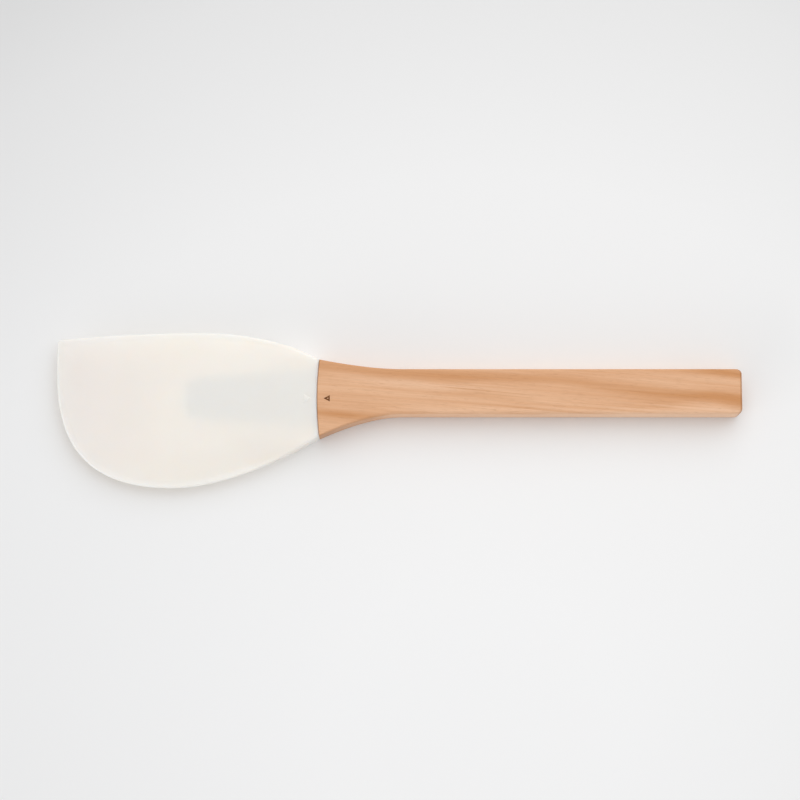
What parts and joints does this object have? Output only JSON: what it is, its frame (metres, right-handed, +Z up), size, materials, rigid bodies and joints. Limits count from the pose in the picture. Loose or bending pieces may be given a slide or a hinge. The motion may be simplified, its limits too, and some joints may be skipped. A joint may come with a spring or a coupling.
{
  "type": "silicone spatula",
  "caption": "Kitchen spatula: a soft silicone blade with one straight and one bellied edge pulls off a moulded core that is glued into a flat, flared wooden handle.",
  "frame": {"origin": "middle of the footprint, on the surface that the spatula lies flat on", "axes": "+X along the handle from the blade's tip to the butt, +Y towards the blade's straight edge, +Z up, across the thickness"},
  "size_m": [0.279, 0.0638, 0.012],
  "materials": {
    "wood": "fine-sanded beech, oiled, satin, grain along the handle",
    "nylon": "moulded light grey nylon",
    "adhesive": "cured honey-coloured epoxy",
    "silicone": "satin white silicone, slightly translucent"
  },
  "bodies": {
    "handle": {"wooden_handle": "wood", "nylon_core": "nylon", "tenon_adhesive": "adhesive"},
    "blade": {"silicone_blade": "silicone"}
  },
  "joints": [
    {"name": "blade_pull_off", "type": "slide", "parent": "handle", "child": "blade", "axis": [-1, 0, 0], "range_m": [0, 0.06]}
  ]
}
